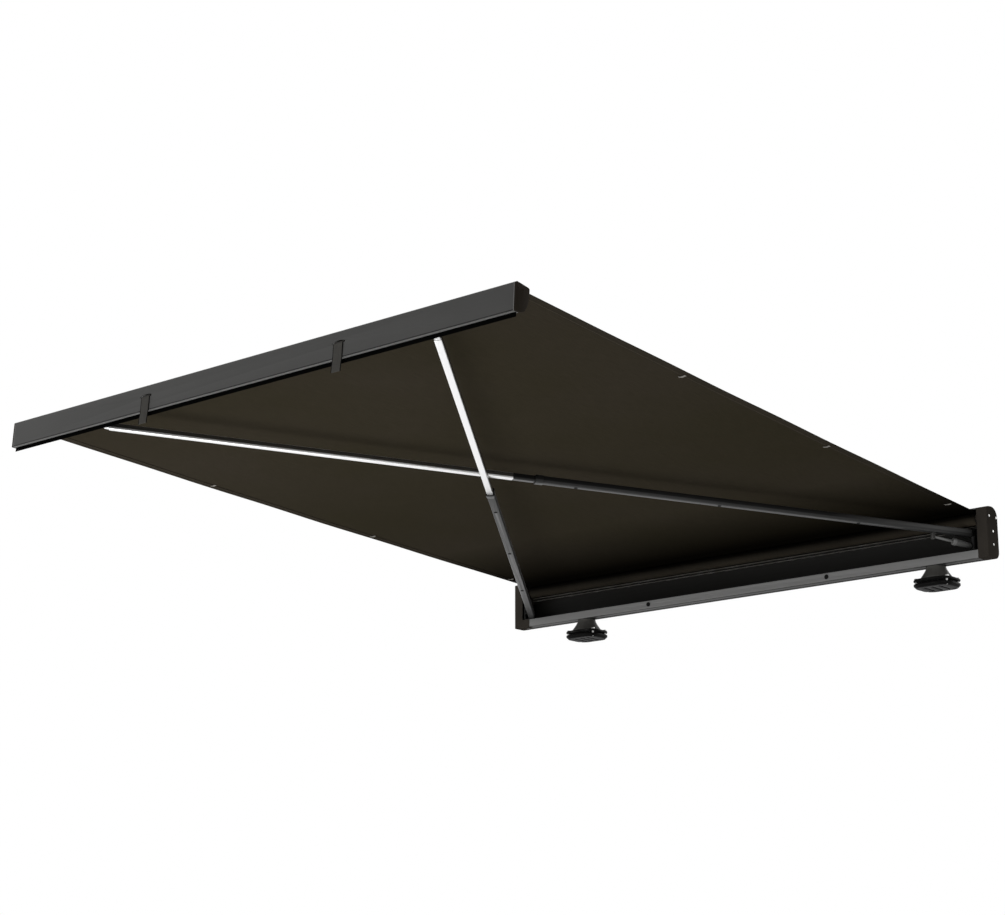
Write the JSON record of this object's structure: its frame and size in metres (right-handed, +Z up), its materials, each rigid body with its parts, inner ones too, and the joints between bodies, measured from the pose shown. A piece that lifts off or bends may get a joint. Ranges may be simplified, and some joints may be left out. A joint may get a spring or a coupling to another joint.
{
  "type": "vehicle side awning",
  "caption": "Side awning for a vehicle roof rack: open-fronted housing on feet, roller, flat canopy, lead rail and crossing telescopic arms.",
  "frame": {"origin": "in the middle of the flat back of the housing", "axes": "+X along the housing, to the right as seen from the shaded side; +Y towards the vehicle; +Z up"},
  "size_m": [2.1334, 2.6173, 0.4083],
  "materials": {
    "grey_coat": "satin dark grey coating",
    "black_plastic": "moulded, fine grain",
    "black_coat": "textured black powder coat",
    "grey_tube": "grey anodised",
    "silver_tube": "natural anodised",
    "steel": "zinc plated",
    "canopy_cloth": "coated plain weave",
    "webbing": "woven strap",
    "rubber": "matte"
  },
  "bodies": {
    "housing": {"housing_profile": "grey_coat", "housing_cap_left": "black_plastic", "housing_cap_right": "black_plastic", "lip_stud_left": "black_plastic", "lip_stud_right": "black_plastic", "roller_bearing_left": "black_plastic", "roller_bearing_right": "black_plastic", "arm_bracket_left": "black_coat", "arm_bracket_right": "black_coat", "canopy": "canopy_cloth", "left_arm_pin": "steel", "right_arm_pin": "steel", "foot_pedestal_left": "black_coat", "foot_plate_left": "black_coat", "foot_pad_left": "rubber", "foot_clamp_left": "black_coat", "slot_bolt_left": "steel", "slot_nut_left": "steel", "foot_bolt_left_1": "steel", "foot_bolt_left_2": "steel", "foot_bolt_left_3": "steel", "foot_bolt_left_4": "steel", "foot_pedestal_right": "black_coat", "foot_plate_right": "black_coat", "foot_pad_right": "rubber", "foot_clamp_right": "black_coat", "slot_bolt_right": "steel", "slot_nut_right": "steel", "foot_bolt_right_1": "steel", "foot_bolt_right_2": "steel", "foot_bolt_right_3": "steel", "foot_bolt_right_4": "steel"},
    "roller": {"roller_tube": "silver_tube", "wound_canopy": "canopy_cloth", "roller_plug_left": "black_plastic", "roller_plug_right": "black_plastic"},
    "rail": {"rail_profile": "grey_coat", "rail_cap_left": "black_plastic", "rail_cap_right": "black_plastic", "strap_left": "webbing", "strap_right": "webbing", "arm_socket_left": "black_plastic", "arm_socket_right": "black_plastic"},
    "left_arm": {"left_arm_knuckle": "black_coat", "left_arm_outer_tube": "grey_tube", "left_arm_collar": "black_plastic"},
    "left_inner_arm": {"left_arm_inner_tube": "silver_tube", "left_arm_tip": "black_coat"},
    "right_arm": {"right_arm_knuckle": "black_coat", "right_arm_outer_tube": "grey_tube", "right_arm_collar": "black_plastic", "strut_lug": "black_coat", "strut_rod": "black_coat", "strut_barrel": "grey_tube"},
    "right_inner_arm": {"right_arm_inner_tube": "silver_tube", "right_arm_tip": "black_coat"}
  },
  "joints": [
    {"name": "rail_slide", "type": "slide", "parent": "housing", "child": "rail", "axis": [0, 0.9981, -0.0623], "range_m": [0, 2.44989], "deforming": ["canopy"]},
    {"name": "roller_spin", "type": "hinge", "parent": "housing", "child": "roller", "pos_m": [0, -0.034, 0.0555], "axis": [-1, 0, 0], "range_deg": [0, 6000]},
    {"name": "left_swing", "type": "hinge", "parent": "housing", "child": "left_arm", "pos_m": [-0.986, -0.062, -0.046], "axis": [-0.0281, 0.0623, 0.9977], "range_deg": [0, 53.5]},
    {"name": "left_telescope", "type": "slide", "parent": "left_arm", "child": "left_inner_arm", "axis": [-0.573, 0.8168, -0.0671], "range_m": [0, 1.3]},
    {"name": "right_swing", "type": "hinge", "parent": "housing", "child": "right_arm", "pos_m": [0.981, -0.02, 0.0093], "axis": [0.0023, -0.0623, -0.9981], "range_deg": [0, 54.7]},
    {"name": "right_telescope", "type": "slide", "parent": "right_arm", "child": "right_inner_arm", "axis": [0.5425, 0.8385, -0.0511], "range_m": [0, 1.3715]}
  ],
  "couplings": [
    {"joint": "roller_spin", "follows": "rail_slide", "rad_per_m": 42.55},
    {"joint": "left_swing", "follows": "rail_slide", "rad_per_m": 0.38102},
    {"joint": "left_telescope", "follows": "rail_slide", "ratio": 0.53059},
    {"joint": "right_swing", "follows": "rail_slide", "rad_per_m": 0.38936},
    {"joint": "right_telescope", "follows": "rail_slide", "ratio": 0.55967}
  ]
}
